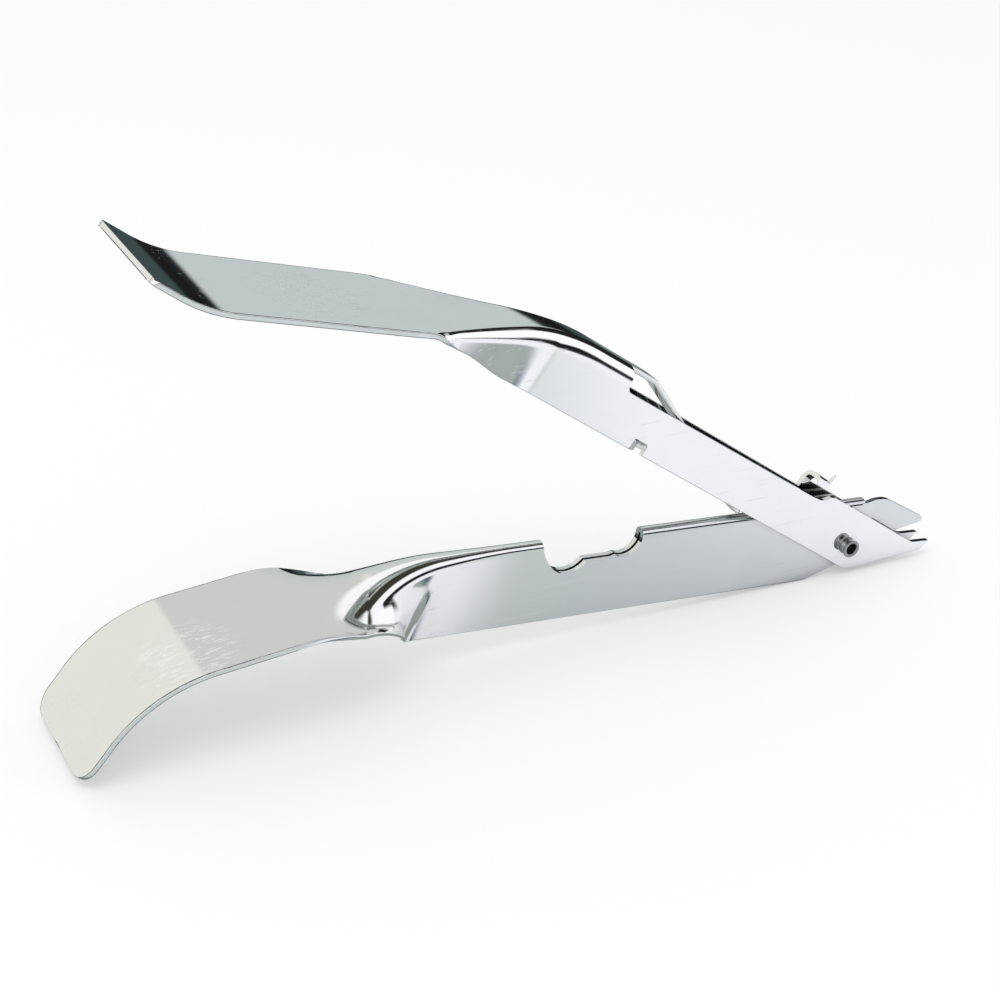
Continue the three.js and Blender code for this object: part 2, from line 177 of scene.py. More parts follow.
def shell(middle, thickness=SHEET, radius=EDGE_ROUND):
    """A closed mesh round a middle surface, with rounded edges. Rows run rearwards."""
    along = np.gradient(middle, axis=0)
    across = np.gradient(middle, axis=1)
    normal = unit(np.cross(across, -along))
    half = thickness / 2
    steps = np.radians([0, 30, 60, 90])

    # Extra rows round the rear end off: each goes a little further and is a little thinner.
    thick = [half] * len(middle)
    rear = unit(middle[-1] - middle[-2])
    base = middle[-1] - radius * rear
    rows = list(middle[:-1]) + [base + radius * math.sin(a) * rear for a in steps]
    thick = thick[:-1] + [half - radius + radius * math.cos(a) for a in steps]
    normals = list(normal[:-1]) + [normal[-1]] * len(steps)

    vertices = []
    for row, n, h in zip(rows, normals, thick):
        scale = h / half
        ring = []
        far = unit(row[0] - row[1])
        near = unit(row[-1] - row[-2])
        inset = [row[0] - radius * far, *row[1:-1], row[-1] - radius * near]
        ring += [p + h * m for p, m in zip(inset, n)]
        for a in steps[1:]:
            lift = (half - radius + radius * math.cos(a)) * scale
            ring.append(inset[-1] + radius * math.sin(a) * near + lift * n[-1])
        for a in steps[:0:-1]:
            lift = (half - radius + radius * math.cos(a)) * scale
            ring.append(inset[-1] + radius * math.sin(a) * near - lift * n[-1])
        ring += [p - h * m for p, m in zip(inset[::-1], n[::-1])]
        for a in steps[1:]:
            lift = (half - radius + radius * math.cos(a)) * scale
            ring.append(inset[0] + radius * math.sin(a) * far - lift * n[0])
        for a in steps[:0:-1]:
            lift = (half - radius + radius * math.cos(a)) * scale
            ring.append(inset[0] + radius * math.sin(a) * far + lift * n[0])
        vertices.append(ring)
    vertices = np.array(vertices)
    count = vertices.shape[1]
    across_points = middle.shape[1]
    arc = len(steps) - 1

    faces = []
    edge_faces = []
    for i in range(len(vertices) - 1):
        for j in range(count):
            k = (j + 1) % count
            faces.append((i * count + j, (i + 1) * count + j, (i + 1) * count + k, i * count + k))
            on_near = across_points - 1 <= j < across_points + 2 * arc
            on_far = j >= 2 * across_points + 2 * arc - 1
            on_rear = i >= len(vertices) - len(steps)
            edge_faces.append(on_near or on_far or on_rear)
    # End caps: strips from each outer point to its inner partner.
    order = [(count - arc + q) % count for q in range(arc)] + list(range(across_points + arc))
    partner = [(2 * across_points + 2 * arc - 1 + arc - q) % count for q in range(arc)]
    partner += [2 * across_points + 2 * arc - 1 - j for j in range(across_points + arc)]
    last = (len(vertices) - 1) * count
    for a, b in zip(range(len(order) - 1), range(1, len(order))):
        front = (order[a], order[b], partner[b], partner[a])
        if len(set(front)) < 3:
            continue
        front = tuple(dict.fromkeys(front))
        faces.append(front)
        faces.append(tuple(last + v for v in front[::-1]))
        edge_faces += [True, True]
    return mesh_of(vertices.reshape(-1, 3), faces, edge_faces)


def mesh_of(vertices, faces, edge_faces=None):
    mesh = bpy.data.meshes.new("part")
    mesh.from_pydata([tuple(v) for v in vertices], [], faces)
    if edge_faces is not None:
        mesh.polygons.foreach_set("material_index", np.array(edge_faces, int))
    solid = bmesh.new()
    solid.from_mesh(mesh)
    bmesh.ops.remove_doubles(solid, verts=solid.verts, dist=1e-5)
    bmesh.ops.dissolve_degenerate(solid, edges=solid.edges, dist=1e-6)
    bmesh.ops.recalc_face_normals(solid, faces=solid.faces)
    solid.to_mesh(mesh)
    solid.free()
    return mesh


def across_tool(points, y0, y1):
    """A prism across the tool, drawn in x and z."""
    count = len(points)
    vertices = [(x, y, z) for y in (y0, y1) for x, z in points]
    faces = [tuple(range(count)), tuple(range(2 * count - 1, count - 1, -1))]
    for i in range(count):
        k = (i + 1) % count
        faces.append((i, i + count, k + count, k))
    return mesh_of(vertices, faces, [True] * len(faces))


def upright_tool(points, z0, z1, cut=True):
    """A prism that stands up, drawn in x and y."""
    count = len(points)
    vertices = [(x, y, z) for z in (z0, z1) for x, y in points]
    faces = [tuple(range(count)), tuple(range(2 * count - 1, count - 1, -1))]
    faces += [(i, i + count, (i + 1) % count + count, (i + 1) % count) for i in range(count)]
    return mesh_of(vertices, faces, [cut] * len(faces))


def arc(cx, cz, radius, start, end, steps=14):
    angles = np.radians(np.linspace(start, end, steps + 1))
    return [(cx + radius * math.cos(a), cz + radius * math.sin(a)) for a in angles]


def curve(p0, p1, p2, steps=8):
    """A quadratic curve from p0 to p2 that bends towards p1."""
    points = []
    for i in range(steps + 1):
        t = i / steps
        points.append(tuple(
            (1 - t) ** 2 * a + 2 * t * (1 - t) * b + t * t * c for a, b, c in zip(p0, p1, p2)))
    return points


def rod(radius, half_length, segments=96):
    circle = [(radius * math.cos(a), radius * math.sin(a))
              for a in np.linspace(0, 2 * math.pi, segments, endpoint=False)]
    return across_tool(circle, -half_length, half_length)


def combine(body, parts, operation):
    """body with the other meshes cut away or joined on."""
    target = bpy.data.objects.new("target", body)
    bpy.context.scene.collection.objects.link(target)
    helpers = []
    for part in parts:
        helper = bpy.data.objects.new("helper", part)
        bpy.context.scene.collection.objects.link(helper)
        modifier = target.modifiers.new("combine", "BOOLEAN")
        modifier.operation = operation
        modifier.solver = "MANIFOLD"
        modifier.object = helper
        helpers.append(helper)
    depsgraph = bpy.context.evaluated_depsgraph_get()
    result = bpy.data.meshes.new_from_object(target.evaluated_get(depsgraph))
    for thing in [target, *helpers]:
        bpy.data.objects.remove(thing)
    return result


def placed(mesh, pitch):
    """The mesh turned from a lever's frame into the row frame, in metres."""
    turn = Matrix.Rotation(-math.radians(pitch), 4, "Y")
    mesh.transform(Matrix.Scale(0.001, 4) @ Matrix.Translation(PIVOT) @ turn)
    return mesh


def shade(mesh, angle=30):
    """Smooth shading, with a crisp line where the sheet meets its cut edge."""
    mesh.shade_smooth()
    mesh.set_sharp_from_angle(angle=math.radians(angle))
    solid = bmesh.new()
    solid.from_mesh(mesh)
    for edge in solid.edges:
        if len({face.material_index for face in edge.link_faces}) > 1:
            edge.smooth = False
    solid.to_mesh(mesh)
    solid.free()


def smooth_like(mesh, source):
    """Shades a cut sheet with the clean normals of the sheet it was cut from."""
    shade(mesh)
    shade(source)
    tree = BVHTree.FromPolygons(
        [v.co for v in source.vertices], [tuple(p.vertices) for p in source.polygons])
    source_normals = [Vector(c.vector) for c in source.corner_normals]
    own = [Vector(c.vector) for c in mesh.corner_normals]
    reach = 2e-5
    result = list(own)
    for face in mesh.polygons:
        if face.material_index:
            continue
        centre_hit = tree.find_nearest(face.center, reach)
        if centre_hit[0] is None or centre_hit[1].dot(face.normal) < 0.94:
            continue
        for corner in face.loop_indices:
            point = mesh.vertices[mesh.loops[corner].vertex_index].co
            _, _, index, _ = tree.find_nearest(point * 0.98 + face.center * 0.02, reach)
            if index is None or source.polygons[index].material_index:
                result[corner] = face.normal
                continue
            home = source.polygons[index]
            weights = []
            for c in home.loop_indices:
                away = (source.vertices[source.loops[c].vertex_index].co - point).length
                weights.append(1 / (away + 1e-7) ** 2)
            normal = Vector((0, 0, 0))
            for c, weight in zip(home.loop_indices, weights):
                normal += source_normals[c] * weight
            normal.normalize()
            result[corner] = normal if normal.dot(face.normal) > 0.95 else face.normal
    mesh.normals_split_custom_set([tuple(n) for n in result])
    return mesh


# ------------------------------------------------------------------ finger lever
def finger_crest():
    lead = 0.9  # straight behind the place where the fold has closed
    return walk_back(FINGER["fold_end"], FINGER["crest"], [
        *straight(FINGER["fold_end"] - FINGER["tight"] - 1, 6),
        *straight(FINGER["tight"] + 1 - FINGER["closed"], 36),
        *straight(lead, 3),
        *bent(FINGER["dip_radius"], FINGER["dip_slope"], 40),
        *bent(FINGER["rise_radius"], FINGER["plate_slope"] - FINGER["dip_slope"], 20),
        *straight(FINGER["plate_length"], 30),
        *bent(FINGER["hook_radius"], FINGER["hook_turn"], 40),
        *straight(FINGER["hook_length"], 3),
        *rounding(0.999 * FINGER["hook_corner"], 14),
    ])


def fold_to(y, drop, bend, relax):
    """How far a section turns over its bend, and how long it is, to end at y and drop."""
    shares = (np.arange(FLAP_POINTS) + 0.5) / FLAP_POINTS
    low, high = 1e-4, math.radians(135)
    for _ in range(40):
        angle = (low + high) / 2
        radius = bend / angle
        over = y - radius * math.sin(angle)
        under = drop - radius * (1 - math.cos(angle))
        out = np.mean(np.cos(angle * (1 - relax * shares)))
        down = np.mean(np.sin(angle * (1 - relax * shares)))
        if under * out > over * down:
            low = angle
        else:
            high = angle
    return angle, bend + math.hypot(over, under) / math.hypot(out, down)


def finger_section(stations):
    """Flat behind the shoulder. From its start the edges sink and close in, slowly and then
    at once, until both halves hang as one double blade."""
    start, closed, tight = FINGER["start"], FINGER["closed"], FINGER["tight"]
    closed_half, closed_depth = FINGER["closed_half"], FINGER["closed_depth"]
    end_x, end_z, _ = stations[-1]
    fold = FINGER["fold_radius"]
    depth = FINGER["crest"] - FINGER["bottom"]

    def section(i, x, z):
        lean = math.radians(FINGER["plate_slope"]) * (1 - smooth(x, start, closed))
        skew = FINGER["skew"] * smooth(x, start - 11, start) * (1 - smooth(x, closed, closed + 16))
        if x <= start:
            from_end = math.hypot(x - end_x, z - end_z)
            edge = HALF_PLATE - corner_loss(FINGER["hook_corner"], from_end)
            return {"flat": CENTRE_FLAT, "bend": edge - 0.5, "angle": 0, "edge": edge,
                    "lean": lean, "skew": skew}
        part = min((x - start) / (closed - start), 1)
        shut = 1 - (1 - min(max((x - closed) / (tight - closed), 0), 1)) ** 2
        early = 0.6 * (HALF_PLATE - closed_half) * part ** 1.6
        late = 0.4 * (HALF_PLATE - closed_half) * part ** 6
        y = HALF_PLATE - early - late - (closed_half - fold) * shut
        drop = closed_depth * part ** 1.9 + (depth - closed_depth) * shut
        bend = 7 - 5 * part + (fold * math.pi / 2 - 2) * shut
        relax = 1.05 * (1 - part ** 4)
        angle, edge = fold_to(y - CENTRE_FLAT, drop, bend, relax)
        return {"flat": CENTRE_FLAT, "bend": bend, "angle": angle, "edge": edge + CENTRE_FLAT,
                "relax": relax, "lean": lean, "skew": skew}
    return section


def finger_notch():
    """A deep round scoop in the folded edge, then a shallow step that curves up again."""
    points = [(-50.9, 7.5), *curve((-50.6, 5.4), (-50, 3.9), (-49.4, 3.2))]
    points += arc(-46.4, 4.9, 3.4, 210, 323)
    points += [(-39.6, 2.85)]
    points += arc(-37.9, 5.5, 2.6, 248, 360)
    points += [(-35.3, 7.5)]
    return across_tool(points[::-1], -2, 2)


def beak():
    """The near layer goes on alone: it steps to the middle plane and narrows to a tip."""
    side = across_tool([
        (1.9, -2.72), *curve((7.6, -0.15), (8.9, 0.4), (10.9, 0.8)),
        *curve((13.7, 1.35), (14.5, 1.5), (14.4, 1.95)), (14.3, 2.2),
        *curve((7.4, 5.7), (6.6, 6.1), (5.6, 6.12)), (1.9, 6.12),
    ][::-1], -2, 2)
    middle = [(1.0, -0.55)] + [
        (2.6 + 2.4 * i / 20, -0.55 * (1 - smooth(i / 20, 0, 1))) for i in range(21)] + [(16.0, 0.0)]
    path = np.array(middle)
    heading = unit(np.gradient(path, axis=0))
    normal = np.stack([-heading[:, 1], heading[:, 0]], axis=1)
    outline = [*(path + normal * SHEET / 2), *(path - normal * SHEET / 2)[::-1]]
    return combine(upright_tool(outline, -6, 8, cut=False), [side], "INTERSECT")


def finger_lever():
    stations = finger_crest()
    sheet = shell(surface(stations, finger_section(stations)))
    source = sheet.copy()
    toe = across_tool([(-6.4, -5.5), (-6.4, -7), (2.6, -7), (2.6, -2.4)], -2, 2)
    body = combine(sheet, [finger_notch(), toe], "DIFFERENCE")
    body = combine(body, [beak()], "UNION")
    body = combine(body, [rod(PIN["radius"] + PIN["fit"], 3)], "DIFFERENCE")
    return smooth_like(placed(body, FINGER_PITCH), placed(source, FINGER_PITCH))


# ------------------------------------------------------------------ thumb lever
def thumb_crest():
    """Ahead of the roof tab the web is cut away, so its crest runs higher there and the
    flanges are flat to the tops of the tines."""
    length, roof, web_end = THUMB["tine_length"], THUMB["roof_front"], THUMB["web_end"]
    stations = walk_back(length, THUMB["crest"], [
        *straight(length - roof - 0.3, 4),
        *straight(0.3, 1),
        *straight(roof - web_end, 10),
        *straight(web_end - THUMB["bend_start"], 12),
        *bent(38, THUMB["plate_slope"], 44),
        *straight(16, 54),
        *straight(THUMB["plate_length"], 16),
        *bent(20, -22, 24),
        *straight(2.9, 3),
        *rounding(THUMB["lip_corner"], 8),
    ])
    return [(x, z + 3 if x > roof + 0.2 else z, slope) for x, z, slope in stations]


def channel_half(x):
    return THUMB["half_width"] + THUMB["taper"] * max(-4 - x, 0)


def channel_bend(x):
    return 1.15 + 0.7 * smooth(-x, 12, 52.7)


def thumb_section(stations):
    plate, folded, channel = THUMB["plate"], THUMB["folded"], THUMB["channel"]
    end_x = stations[-1][0]
    fall = (THUMB["bottom_front"] - THUMB["bottom_rear"]) / 73

    def section(i, x, z):
        back = max(channel - x, 0) / (channel - plate)
        radius = max(channel_bend(x) * (1 - 0.8 * back), 0.35)
        bend = radius * math.pi / 2
        channel_flat = channel_half(x) - channel_bend(x) - SHEET / 2
        plate_flat = HALF_PLATE - bend - 0.3
        flat = min(channel_flat + 6.4 * back ** 1.45, plate_flat)
        bottom = THUMB["bottom_front"] - fall * -x
        rise = THUMB["rise"] * (1 - smooth(x, plate + 5.5, plate + 14.5))
        flap = max(z - radius - (bottom + rise), 0.15)
        loss = corner_loss(THUMB["lip_corner"], x - end_x)
        edge = HALF_PLATE - loss if x < plate else flat + bend + flap
        lean = math.radians(THUMB["plate_slope"]) * (1 - smooth(x, plate, channel))
        return {"flat": flat - loss, "bend": bend, "angle": math.pi / 2 * smooth(x, plate, folded),
                "edge": edge, "lean": lean}
    return section


def thumb_top_cuts():
    """All above the flanges' top edges but the roof tab, and the hooks of the tines."""
    web_end, top_rear, top_front = THUMB["web_end"], THUMB["top_rear"], THUMB["top_front"]
    rear, front, height = THUMB["roof_rear"], THUMB["roof_front"], THUMB["tine_height"]
    window = [(web_end, 12), *arc(web_end + 1, top_rear + 1, 1, 180, 270), (rear, top_rear), (rear, 12)]
    nose = [(front, 12), (front, top_front), (10.9, top_front), (11.5, 5.2),
            (14.1, height - 0.15), (20, height - 0.2), (20, 12)]
    slot_top = THUMB["slot_top"]
    slot = [(rear - 0.2, top_rear),
            *curve((-10.6, top_rear + 0.05), (-9.6, top_rear + 0.1), (-8.8, 4.5)),
            *curve((-8.6, 4.7), (-8.2, top_front), (-7.2, top_front)),
            (-7.2, slot_top), (rear - 0.2, slot_top)]
    beside = [(rear - 0.2, 12), (rear - 0.2, top_front), (-7.2, top_front), (-7.2, 12)]
    tip, side = 0.6, -0.5  # the roof tab's rounded tongue: its radius, and where it begins
    back = front - 1.1  # the tab's front edge on the far side
    tab = [(back, 6), *curve((back, side + tip), (back, side), (front - tip, side)),
           *arc(front - tip, side - tip, tip, 90, -90)[1:], (front - tip, -6), (0, -6), (0, 6)]
    return [across_tool(window[::-1], -12, 12), across_tool(nose[::-1], -12, 12),
            across_tool(slot[::-1], -4, -0.8), across_tool(beside[::-1], -4, THUMB["near_edge"]),
            upright_tool(tab, top_front, 12)]


def thumb_front_cut():
    """The flanges' lower front: a rounded corner under the pivot, then a rise to the tips."""
    bottom, height = THUMB["bottom_front"], THUMB["tine_height"]
    points = [(-1, -9), (-1, bottom), *curve((1, bottom), (3, bottom), (4.6, -1.9)), (13.5, 4.7),
              (14.05, height - 0.2), (14.2, height), (20, height), (20, -9)]
    return across_tool(points[::-1], -6, 6)


GUIDE = {"rear": -46.9, "front": -44.1, "top": -1.05, "length": 2.4, "swing": 35}


def guide_gap():
    rear, front, top = GUIDE["rear"], GUIDE["front"], GUIDE["top"]
    points = [(rear, -6), (rear, top - 0.3), (rear + 0.3, top), (front - 0.3, top),
              (front, top - 0.3), (front, -6)]
    return across_tool(points[::-1], -8, 8)


def guide_door(side):
    """A door lanced from a flange's lower edge and bent inwards."""
    bottom = THUMB["bottom_front"] - (THUMB["bottom_front"] - THUMB["bottom_rear"]) / 73 * 46.9
    swing = math.radians(GUIDE["swing"])
    y = channel_half(GUIDE["rear"]) - SHEET / 2
    x = GUIDE["rear"] - 0.4
    steps = 14
    path = [(x, y)]
    for i in range(steps):
        heading = swing * smooth(i, 0, steps * 0.5)
        x += GUIDE["length"] / steps * math.cos(heading)
        y -= GUIDE["length"] / steps * math.sin(heading)
        path.append((x, y))
    heights = np.linspace(bottom, GUIDE["top"] - 0.15, 6)
    rows = np.array([[(px, side * py, h) for h in heights] for px, py in path])
    return shell(rows, radius=0.1)


def thumb_lever():
    stations = thumb_crest()
    sheet = shell(surface(stations, thumb_section(stations)))
    source = sheet.copy()
    cuts = [*thumb_top_cuts(), thumb_front_cut(), guide_gap(), rod(PIN["radius"] + PIN["fit"], 4)]
    body = combine(sheet, cuts, "DIFFERENCE")
    body = combine(body, [guide_door(1), guide_door(-1)], "UNION")
    return smooth_like(placed(body, THUMB_PITCH), placed(source, THUMB_PITCH))


# ------------------------------------------------------------------ return tongue
TONGUE = {"level": 4.9, "bend_radius": 2.2, "drop": 20.5, "fall": 26.6, "root_half": 1.45,
          "tip_half": 1.05, "tip_turn": 16.0, "tip_corner": 0.6}


def return_tongue():
    """The web's front strip: level at its root, bent down onto the finger lever's fold."""
    strides = [*straight(TONGUE["level"], 8), *bent(TONGUE["bend_radius"], -TONGUE["drop"], 12),
               *straight(TONGUE["fall"], 40), *bent(2.5, TONGUE["tip_turn"], 8),
               *rounding(TONGUE["tip_corner"], 6)]
    stations = walk_back(0, 0, strides)
    total = sum(stride for stride, _ in strides)
    gone = 0.0
    rows = []
    for (x, z, _), (stride, _) in zip(stations, [*strides, (0, 0)]):
        share = gone / total
        half = TONGUE["root_half"] + (TONGUE["tip_half"] - TONGUE["root_half"]) * share
        half -= corner_loss(TONGUE["tip_corner"], total - gone)
        rows.append([(THUMB["web_end"] - x, y, THUMB["crest"] - z) for y in np.linspace(-half, half, 9)])
        gone += stride
    mesh = placed(shell(np.array(rows), radius=0.12), THUMB_PITCH)
    mesh.shade_smooth()
    mesh.set_sharp_from_angle(angle=math.radians(40))
    return mesh


# ------------------------------------------------------------------ pivot pin
def pivot_pin():
    """A hollow rivet: drawn in to a waist beside the flanges and flared at both ends."""
    bore, radius, waist, flare = PIN["bore"], PIN["radius"], PIN["waist"], PIN["flare"]
    flange = THUMB["half_width"]
    half = flange + PIN["stand_out"]
    lip = 0.13
    outside = [(radius, flange), (radius, flange + 0.3)]
    outside += [(radius + (waist - radius) * smooth(i, 0, 6), flange + 0.3 + 0.05 * i) for i in range(1, 7)]
    outside += [(waist + (flare - waist) * (i / 8) ** 2, flange + 0.6 + 0.065 * i) for i in range(1, 9)]
    mouth = [(flare - lip + lip * math.cos(a), half - lip + lip * math.sin(a))
             for a in np.radians([0, 30, 60, 90])]
    mouth += [(bore + lip - lip * math.sin(a), half - lip + lip * math.cos(a))
              for a in np.radians([0, 30, 60, 90])]
    profile = [*outside, *mouth]
    profile += [(r, -h) for r, h in profile[::-1]]
    segments = 96
    count = len(profile)
    vertices = [(r * math.cos(a), h, r * math.sin(a))
                for a in np.linspace(0, 2 * math.pi, segments, endpoint=False) for r, h in profile]
    faces = []
    for i in range(segments):
        k = (i + 1) % segments
        for j in range(count):
            m = (j + 1) % count
            faces.append((i * count + j, i * count + m, k * count + m, k * count + j))
    mesh = placed(mesh_of(vertices, faces), THUMB_PITCH)
    mesh.shade_smooth()
    mesh.set_sharp_from_angle(angle=math.radians(40))
    return mesh


# ------------------------------------------------------------------ materials
class Nodes:
    """A short way to write shader nodes: each call makes a node and links what it is given."""

    def __init__(self, tree):
        self.tree = tree
        tree.nodes.clear()

    def add(self, kind, inputs=None, **settings):
        node = self.tree.nodes.new("ShaderNode" + kind)
        for key, value in settings.items():
            setattr(node, key, value)
        for key, value in (inputs or {}).items():
            socket = node.inputs[key]
            if isinstance(value, bpy.types.NodeSocket):
                self.tree.links.new(value, socket)
            else:
                socket.default_value = value
        return node

    def math(self, operation, a, b=0.0, clamp=False):
        return self.add("Math", {0: a, 1: b}, operation=operation, use_clamp=clamp).outputs[0]

    def ramp(self, value, low, high, from_value=0.0, to_value=1.0):
        node = self.add("MapRange", {"Value": value, "From Min": low, "From Max": high,
                                     "To Min": from_value, "To Max": to_value})
        node.interpolation_type = "SMOOTHSTEP"
        return node.outputs[0]

    def mix(self, factor, a, b):
        node = self.add("Mix", data_type="RGBA")
        for socket, value in zip((node.inputs[0], node.inputs[6], node.inputs[7]), (factor, a, b)):
            if isinstance(value, bpy.types.NodeSocket):
                self.tree.links.new(value, socket)
            else:
                socket.default_value = value
        return node.outputs[2]

    def noise(self, vector, scale, detail=4.0, roughness=0.5):
        return self.add("TexNoise", {"Vector": vector, "Scale": scale, "Detail": detail,
                                     "Roughness": roughness}).outputs["Fac"]


def grey(level, tint=(1.0, 1.0, 1.0)):
    return (level * tint[0], level * tint[1], level * tint[2], 1.0)


def painted_crevice_shade(nodes, colour, distance=0.004):
    """Painted shade: darkens a colour where neighbouring metal closes in on it."""
    open_share = nodes.add("AmbientOcclusion", {"Distance": distance}, samples=4).outputs["AO"]
    return nodes.mix(nodes.ramp(open_share, 0.15, 0.7), grey(0.12, (1, 1, 0.97)), colour)


def rubbed_patch(nodes, place, centre, radius):
    """A worn spot: short strokes that thin out away from its centre."""
    away = nodes.add("VectorMath", {0: place, 1: centre}, operation="DISTANCE").outputs["Value"]
    strokes = nodes.add("Mapping", {"Vector": place, "Rotation": (0.2, 0.3, 0.8),
                                    "Scale": (450, 2600, 900)}).outputs[0]
    broken = nodes.ramp(nodes.noise(strokes, 1.0, 3.0, 0.7), 0.53, 0.59)
    return nodes.math("MULTIPLY", broken, nodes.ramp(away, radius, 0.3 * radius))


def polished_sheet(name, bright, painted_shade, roughness, grain_pitch, worn_at, worn_radius):
    """Bright polished stainless sheet: faint draw lines, fine scratches and a worn spot, with painted shade
    along x and in crevices.
    """
    material = bpy.data.materials.new(name)
    material.use_nodes = True
    nodes = Nodes(material.node_tree)
    place = nodes.add("TexCoord").outputs["Object"]
    along = nodes.add("Mapping", {"Vector": place, "Rotation": (0, math.radians(grain_pitch), 0),
                                  "Scale": (14, 1100, 900)}).outputs[0]
    crossed = nodes.add("Mapping", {"Vector": place, "Rotation": (0.5, 0.2, 0.9),
                                    "Scale": (60, 2600, 2600)}).outputs[0]
    lines = nodes.noise(along, 1.0, 5.0, 0.6)
    scratches = nodes.ramp(nodes.noise(crossed, 1.0, 2.0), 0.64, 0.72)
    patches = nodes.ramp(nodes.noise(place, 90.0, 5.0, 0.6), 0.4, 0.75)
    worn = rubbed_patch(nodes, place, worn_at, worn_radius)
    rough = nodes.math("ADD", roughness, nodes.math("MULTIPLY", patches, 0.03))
    rough = nodes.math("ADD", rough, nodes.math("MULTIPLY", scratches, 0.14))
    rough = nodes.math("ADD", rough, nodes.math("MULTIPLY", worn, 0.35))
    height = nodes.math("ADD", nodes.math("MULTIPLY", lines, 0.5), nodes.math("MULTIPLY", scratches, -0.6))
    rounded = nodes.add("Bevel", {"Radius": 0.00007}, samples=4).outputs[0]
    bump = nodes.add("Bump", {"Strength": 0.06, "Distance": 0.00002, "Height": height,
                              "Normal": rounded}).outputs[0]
    x = nodes.add("SeparateXYZ", {0: place}).outputs["X"]
    # Painted shade: the colour turns darker along x over the span the caller gives.
    colour = nodes.mix(nodes.ramp(x, *painted_shade["from_to"]), bright, painted_shade["colour"])
    colour = nodes.mix(nodes.math("MULTIPLY", patches, 0.05), colour, grey(0.5))
    colour = nodes.mix(nodes.math("MULTIPLY", worn, 0.6), colour, grey(0.98))
    # Crevices get painted shade in the base colour.
    shader = nodes.add("BsdfPrincipled", {"Base Color": painted_crevice_shade(nodes, colour), "Metallic": 1.0,
                                          "Roughness": rough, "Normal": bump})
    nodes.add("OutputMaterial", {"Surface": shader.outputs[0]})
    return material


def sheared_edge(name):
    """The cut edge of the sheet: a mottled bright band of shear with darker break."""
    material = bpy.data.materials.new(name)
    material.use_nodes = True
    nodes = Nodes(material.node_tree)
    place = nodes.add("TexCoord").outputs["Object"]
    mottle = nodes.ramp(nodes.noise(place, 900.0, 6.0, 0.7), 0.5, 0.72)
    streaks = nodes.noise(place, 5200.0, 3.0)
    colour = nodes.mix(mottle, grey(0.93, (1, 1, 1)), grey(0.5, (0.96, 1, 1.02)))
    rough = nodes.math("ADD", 0.2, nodes.math("MULTIPLY", mottle, 0.3))
    rounded = nodes.add("Bevel", {"Radius": 0.00007}, samples=4).outputs[0]
    bump = nodes.add("Bump", {"Strength": 0.3, "Distance": 0.00004, "Height": streaks,
                              "Normal": rounded}).outputs[0]
    # Crevices get painted shade in the base colour.
    shader = nodes.add("BsdfPrincipled", {"Base Color": painted_crevice_shade(nodes, colour), "Metallic": 1.0,
                                          "Roughness": rough, "Normal": bump})
    nodes.add("OutputMaterial", {"Surface": shader.outputs[0]})
    return material


def drawn_tube(name):
    """Satin drawn tube of the pivot pin, with darker rings along it."""
    material = bpy.data.materials.new(name)
    material.use_nodes = True
    nodes = Nodes(material.node_tree)
    place = nodes.add("TexCoord").outputs["Object"]
    rings = nodes.noise(nodes.add("Mapping", {"Vector": place, "Scale": (300, 6000, 300)}).outputs[0], 1.0)
    colour = nodes.mix(rings, grey(0.5, (0.97, 1, 1.03)), grey(0.28, (0.97, 1, 1.03)))
    bump = nodes.add("Bump", {"Strength": 0.15, "Distance": 0.00002, "Height": rings}).outputs[0]
    shader = nodes.add("BsdfPrincipled", {"Base Color": colour, "Metallic": 1.0, "Roughness": 0.3,
                                          "Normal": bump})
    nodes.add("OutputMaterial", {"Surface": shader.outputs[0]})
    return material


# ------------------------------------------------------------------ pieces
def piece(name, mesh, materials, replaced):
    thing = bpy.data.objects.new(name, mesh)
    bpy.context.scene.collection.objects.link(thing)
    mesh.materials.clear()
    for material in materials:
        mesh.materials.append(material)
    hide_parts(replaced)
    return thing


def build_pieces():
    edge = sheared_edge("sheared_edge")
    pivot = PIVOT * 0.001
    even = {"from_to": (0.1, 0.2), "colour": grey(0.8)}
    # Painted shade: the finger lever's colour turns darker towards the jaws, standing in for its dimmer
    # reflection there.
    painted_shade_towards_jaws = {"from_to": (pivot.x - 0.07, pivot.x - 0.01), "colour": grey(0.68, (0.97, 1, 1))}
    thumb_steel = polished_sheet("thumb_steel", grey(0.86, (0.99, 1, 1)), even, 0.06, -34,
                                 pivot + Vector((-0.084, -0.001, 0.0515)), 0.011)
    finger_steel = polished_sheet("finger_steel", grey(0.85, (1, 1, 0.99)), painted_shade_towards_jaws, 0.07, -5,
                                  pivot + Vector((-0.1, -0.004, 0.008)), 0.009)
    tongue_steel = polished_sheet("tongue_steel", grey(0.82), even, 0.12, -54,
                                  pivot + Vector((-0.02, 0, 0.01)), 0.004)
    finger = piece("finger_lever_sheet", finger_lever(), [finger_steel, edge],
                   "finger_lever")
    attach(finger, "finger_body")
    thumb = piece("thumb_lever_sheet", thumb_lever(), [thumb_steel, edge],
                  "thumb_lever")
    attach(thumb, "thumb_body")
    tongue = piece("return_leaf", return_tongue(), [tongue_steel, edge], "return_tongue")
    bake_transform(tongue)
    pin = piece("pivot_tube", pivot_pin(), [drawn_tube("drawn_tube")], "pivot_pin")
    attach(pin, "thumb_body")


# ------------------------------------------------------------------ studio
def azimuth_of(nodes, x, y):
    """Degrees from straight ahead (+X), positive towards the far side."""
    return nodes.math("MULTIPLY", nodes.math("ARCTAN2", y, x), 180 / math.pi)


